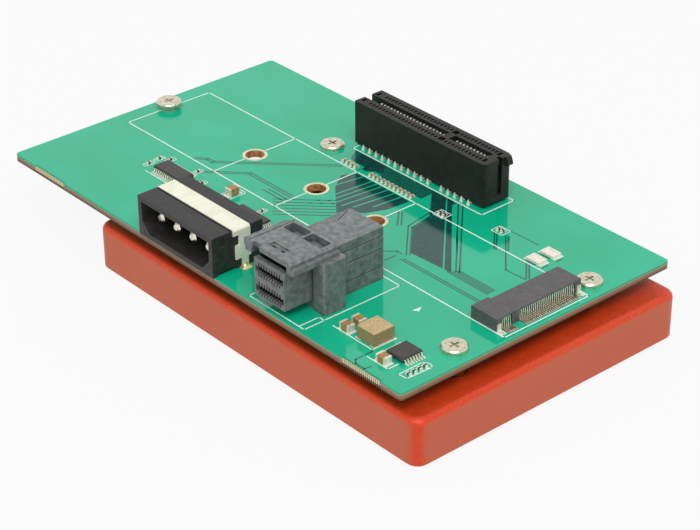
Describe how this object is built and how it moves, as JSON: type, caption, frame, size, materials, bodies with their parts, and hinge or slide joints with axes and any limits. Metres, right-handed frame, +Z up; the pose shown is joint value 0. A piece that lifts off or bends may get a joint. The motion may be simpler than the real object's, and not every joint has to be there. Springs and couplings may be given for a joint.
{
  "type": "storage module adapter card",
  "caption": "Green adapter card screwed to a red metal base block, with an edge-card slot, a low module socket, a pin power header and a hooded cable port.",
  "frame": {"origin": "middle of the whole outline seen from above, at the level of the base block's underside", "axes": "+X along the long side towards the short edge with the module socket, +Y from the edge with the power header and cable port to the edge with the card slot, +Z up"},
  "size_m": [0.1252, 0.07, 0.0278],
  "materials": {
    "red_anodised": "bead-blasted and anodised red",
    "brass": "plain turned",
    "zinc_steel": "bright zinc plate",
    "laminate": "glossy green solder mask on glass-fibre laminate",
    "black_plastic": "moulded, slightly grained",
    "grey_plastic": "moulded, mid grey",
    "tinned": "matt tin plate",
    "gold_contact": "flash gold plate",
    "ceramic": "fired ceramic with tinned ends",
    "resistor_black": "glazed ceramic with tinned ends",
    "inductor_shell": "pressed bronze-coloured powder",
    "led_white": "cream moulding"
  },
  "bodies": {
    "root": {"base_block": "red_anodised", "spacers": "brass", "board_screws": "zinc_steel", "circuit_board": "laminate", "module_post": "zinc_steel", "post_screw": "zinc_steel", "module_socket_housing": "black_plastic", "module_socket_upper_contacts": "tinned", "module_socket_lower_contacts": "tinned", "module_socket_hold_downs": "tinned", "card_slot_housing": "black_plastic", "card_slot_front_contacts": "gold_contact", "card_slot_rear_contacts": "gold_contact", "power_header_housing": "black_plastic", "power_header_pins": "tinned", "power_header_strap": "tinned", "cable_port_hood": "grey_plastic", "cable_port_core": "grey_plastic", "cable_port_contacts": "gold_contact", "cable_port_tails": "tinned", "converter_chip_body": "black_plastic", "converter_chip_leads": "tinned", "clock_chip_body": "black_plastic", "clock_chip_leads": "tinned", "controller_chip_body": "black_plastic", "controller_chip_leads": "tinned", "power_inductor": "inductor_shell", "filter_capacitors": "ceramic", "coupling_capacitors": "ceramic", "chip_resistors": "resistor_black", "status_leds": "led_white"}
  },
  "joints": []
}
